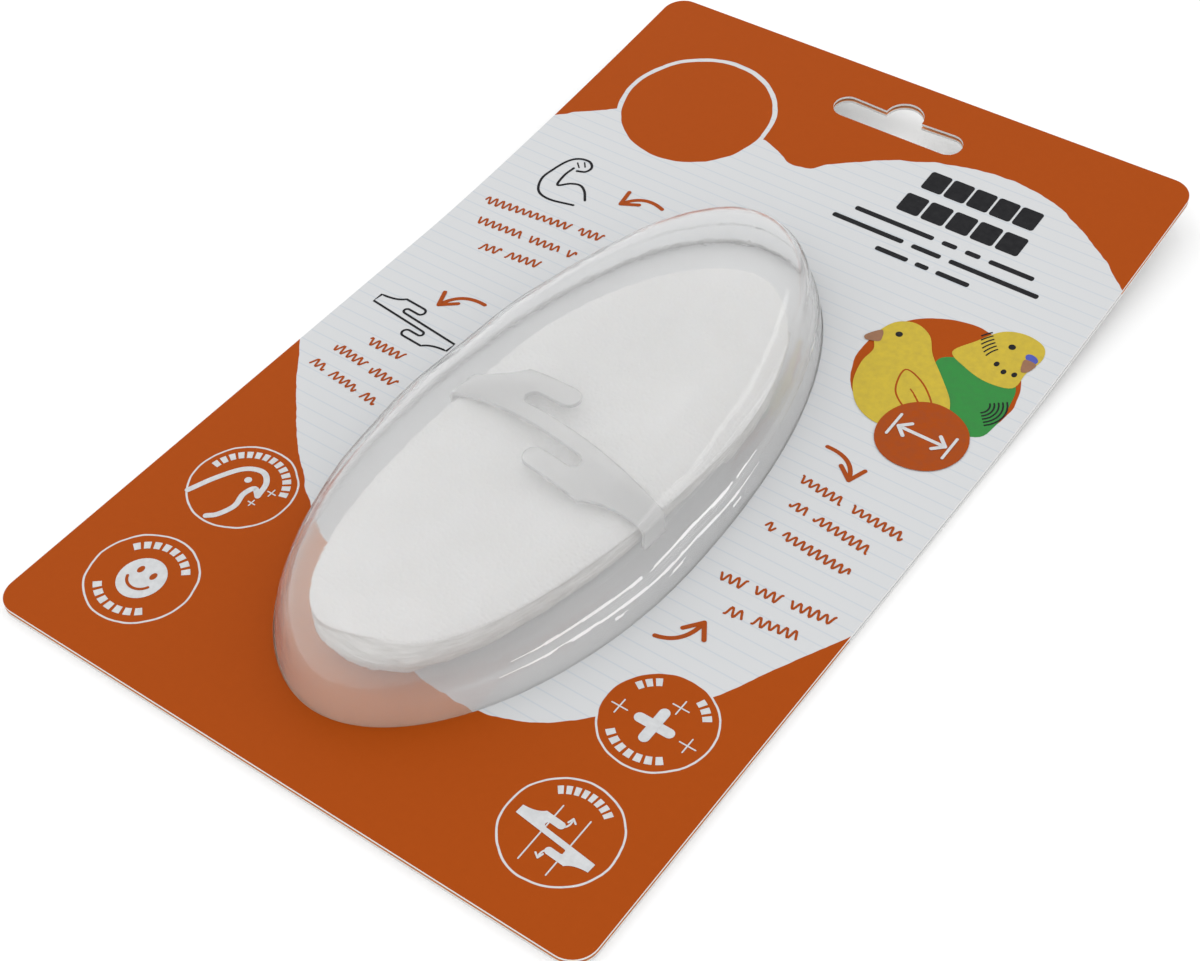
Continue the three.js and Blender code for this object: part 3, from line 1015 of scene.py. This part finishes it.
# Where the pale field ends, as (x, y) from the left edge of the card to its right edge.
FIELD_TOP = [(-67.5, 62.3), (-61.3, 67.6), (-54, 73), (-38, 79), (-21.3, 79.3), (-8.8, 76.1),
             (-4.6, 79.5), (1.3, 84.3), (10, 89.5), (20, 93.2), (28, 94.5), (38.8, 94.3), (47.5, 91.4),
             (57.5, 85.6), (67.5, 77.6)]
FIELD_BOTTOM = [(-67.5, -26.1), (-61.3, -34), (-54, -42.3), (-47.5, -49.3), (-41.3, -54.9),
                (-33, -61.5), (-23.8, -66.8), (-8, -75), (7.5, -79.9), (20, -80.8), (26.3, -80.2),
                (32.5, -77.4), (40.3, -70.5), (49, -61), (55.6, -53.9), (57.8, -49), (61.3, -41.8),
                (67.5, -29.6)]
RULE_PITCH = 3.02

# Discs on the print: the middle and the radius of each.
BADGES = [(-48.5, -64.4, 10.6), (-48.1, -92.4, 10.6), (49.5, -92.8, 10.6), (49.8, -65.0, 10.6)]
BIRD_DISC = (47.2, 36.4, 16.9)
LOGO_DISC = (-40.0, 80.0, 17.3)
BADGE_LINE = 0.38
LOGO_LINE = 1.1


def field_edge(g, x, points, wobble):
    """The height of the field's edge at x, as a curve through the points."""
    low, high = -CARD_HEIGHT / 2, CARD_HEIGHT / 2
    node = g.add("FloatCurve")
    curve = node.mapping.curves[0]
    for i, (px, py) in enumerate(points):
        where = (px / CARD_WIDTH + 0.5, (py - low) / (high - low))
        if i == 0:
            curve.points[0].location = where
        elif i == len(points) - 1:
            curve.points[len(curve.points) - 1].location = where
        else:
            curve.points.new(*where)
    node.mapping.update()
    g.feed(node, "Value", g.math("MULTIPLY_ADD", x, 1 / CARD_WIDTH, 0.5))
    height = g.math("MULTIPLY_ADD", node.outputs[0], high - low, low)
    return g.math("ADD", height, wobble)


def disc_distance(g, x, y, centre, radius, wobble):
    """How far inside a hand-cut disc a point is."""
    dx = g.math("SUBTRACT", x, centre[0])
    dy = g.math("SUBTRACT", y, centre[1])
    away = g.math("SQRT", g.math("ADD", g.math("MULTIPLY", dx, dx), g.math("MULTIPLY", dy, dy)))
    return g.math("SUBTRACT", radius, g.math("ADD", away, wobble))


def print_material(name, orange, pale, rule, roughness):
    """A printed face: orange ends, a pale ruled field between them, plain discs and rings."""
    g = Graph(name, Roughness=roughness)
    g.feed(g.surface, "Specular IOR Level", PRINT_SHINE)
    place = g.place()
    split = g.add("SeparateXYZ", Vector=place)
    x, y = split.outputs[0], split.outputs[1]
    wobble = g.math("MULTIPLY_ADD", g.noise(place, 0.22, 2, 0.4), 1.6, -0.8)
    top = g.math("SUBTRACT", field_edge(g, x, FIELD_TOP, wobble), y)
    bottom = g.math("SUBTRACT", y, field_edge(g, x, FIELD_BOTTOM, wobble))
    field = g.math("MULTIPLY", g.step(top), g.step(bottom))
    phase = g.math("ABSOLUTE", g.math("SUBTRACT", g.math("FRACT", g.math("DIVIDE", y, RULE_PITCH)), 0.5))
    ruled = g.step(g.math("SUBTRACT", 0.14, g.math("MULTIPLY", phase, RULE_PITCH)), 0.12)
    paper = g.mix(g.math("MULTIPLY", ruled, 0.6), pale, rule)
    mottle = g.ramp(g.noise(place, 0.6, 4, 0.6), 0.2, 0.8)
    ink = g.mix(mottle, tuple(0.96 * c for c in orange[:3]) + (1,), orange)
    colour = g.mix(field, ink, paper)
    slight = g.math("MULTIPLY", wobble, 0.4)
    ringed = [(disc, BADGE_LINE) for disc in BADGES] + [(LOGO_DISC, LOGO_LINE)]
    for (cx, cy, radius), line in ringed + [(BIRD_DISC, 0)]:
        inward = disc_distance(g, x, y, (cx, cy), radius, slight)
        if line:
            colour = g.mix(g.step(g.math("ADD", inward, line)), colour, paper)
        colour = g.mix(g.step(inward), colour, ink)
    g.feed(g.surface, "Base Color", colour)
    fibre = g.noise(g.stretch(place, (1, 2.2, 1)), 0.9, 5, 0.6)
    g.bump(fibre, 0.2, 0.05)
    return g.material


INK_COLOURS = [
    ("ink_orange", ORANGE),
    ("ink_black", INK_BLACK),
    ("ink_pale", (0.62, 0.63, 0.64, 1)),
    ("ink_yellow", (0.56, 0.42, 0.045, 1)),
    ("ink_green", (0.035, 0.24, 0.05, 1)),
    ("ink_blue", (0.08, 0.10, 0.42, 1)),
    ("ink_horn", (0.30, 0.15, 0.085, 1)),
]


def ink_material(name, colour):
    g = Graph(name, Roughness=0.5)
    g.feed(g.surface, "Specular IOR Level", PRINT_SHINE)
    place = g.place()
    mottle = g.ramp(g.noise(place, 0.7, 4, 0.6), 0.25, 0.75)
    thin = tuple(0.8 * c + 0.012 for c in colour[:3]) + (1,)
    g.feed(g.surface, "Base Color", g.mix(mottle, thin, colour))
    g.bump(g.noise(g.stretch(place, (1, 2.2, 1)), 0.9, 5, 0.6), 0.2, 0.05)
    return g.material


# Pieces --------------------------------------------------------------------------------------


def hand_over(piece, node, slot, *materials):
    """The piece stands for a node of the frame, which it hides, and takes the given materials."""
    for material in materials:
        piece.data.materials.append(material)
    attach(piece, "root")
    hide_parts(node)


def make_pieces():
    plain = board_material("plain_board", BOARD_WHITE)
    clear = clear_material("blister_plastic", 0.02, BLISTER_HAZE)
    # Hazy white plastic that paints the flank's highlight streaks.
    streak_sheen = clear_material("blister_painted_highlight", 0.25, STREAK_SHEEN_HAZE)
    clip_clear = clear_material("clip_plastic", 0.08, CLIP_HAZE)
    hand_over(make_cuttlebone(), "cuttlebone", "bone", bone_material())
    hand_over(make_clip(), "clip", "clip_plastic", clip_clear)
    hand_over(make_blister(), "blister", "clear_plastic", clear, streak_sheen)
    front = make_leaf("card_front_board", front_low.z, True)
    printed = print_material("printed_face", ORANGE, PALE, RULE_BLUE, 0.5)
    # The inner face's lighter colours are painted light, for the light that the blister holds back.
    inner = print_material("printed_inner_face_brightened", BRIGHTENED_INNER_ORANGE, BRIGHTENED_INNER_PALE, BRIGHTENED_INNER_PALE, 0.7)
    hand_over(front, "card_front", "printed_board", printed, plain)
    hand_over(make_marks(), "card_front", "printed_board", *(ink_material(*ink) for ink in INK_COLOURS))
    back = make_leaf("card_back_board", back_low.z, False)
    hand_over(back, "card_back", "plain_board", inner, plain)


# Stage ---------------------------------------------------------------------------------------


CAMERA_LENS = 61.92
CAMERA_PLACE = (174.9, -241.3, 288.7)
CAMERA_TARGET = (7.74, -23.93, 0)
CAMERA_ROLL = -2.33


def add_camera():
    """Heights of the camera and its target are above the card's face."""
    data = bpy.data.cameras.new("camera")
    data.lens = CAMERA_LENS
    data.sensor_width = 36
    data.clip_start = 0.01
    camera = bpy.data.objects.new("camera", data)
    face = Vector((0, 0, FRONT_TOP))
    place = (Vector(CAMERA_PLACE) + face) * MM
    target = (Vector(CAMERA_TARGET) + face) * MM
    roll = Quaternion((0, 0, 1), math.radians(CAMERA_ROLL))
    camera.location = place
    camera.rotation_euler = ((target - place).to_track_quat("-Z", "Y") @ roll).to_euler()
    bpy.context.collection.objects.link(camera)
    bpy.context.scene.camera = camera


def add_light(name, place, target, size, power):
    data = bpy.data.lights.new(name, "AREA")
    data.shape = "RECTANGLE"
    data.size, data.size_y = size
    data.energy = power
    light = bpy.data.objects.new(name, data)
    light.location = place
    light.rotation_euler = (Vector(target) - Vector(place)).to_track_quat("-Z", "Y").to_euler()
    bpy.context.collection.objects.link(light)


FLOOR_DROP = 0.0001


def add_stage():
    """A plain pale floor just under the part, in plain soft light."""
    bm = bmesh.new()
    bmesh.ops.create_grid(bm, x_segments=1, y_segments=1, size=4)
    mesh = bpy.data.meshes.new("floor")
    bm.to_mesh(mesh)
    bm.free()
    floor = add_object("floor", mesh)
    floor.location.z = -FLOOR_DROP
    g = Graph("floor_paint", Roughness=0.9)
    g.feed(g.surface, "Base Color", (0.92, 0.92, 0.92, 1))
    floor.data.materials.append(g.material)
    scene = bpy.context.scene
    scene.view_settings.view_transform = "Standard"
    scene.world = bpy.data.worlds.new("studio")
    scene.world.use_nodes = True
    background = scene.world.node_tree.nodes["Background"]
    background.inputs["Color"].default_value = (1, 1, 1, 1)
    background.inputs["Strength"].default_value = 1.0
    add_light("side", (0.95, 0.85, 0.55), (0, -0.02, 0), (1.5, 0.16), 1.5)
    add_light("top", (-0.5, -0.3, 1.4), (0, -0.02, 0), (3, 3), 9)


add_camera()
make_pieces()
add_stage()


def corners(box):
    return [[float(c) for c in corner] for corner in box]
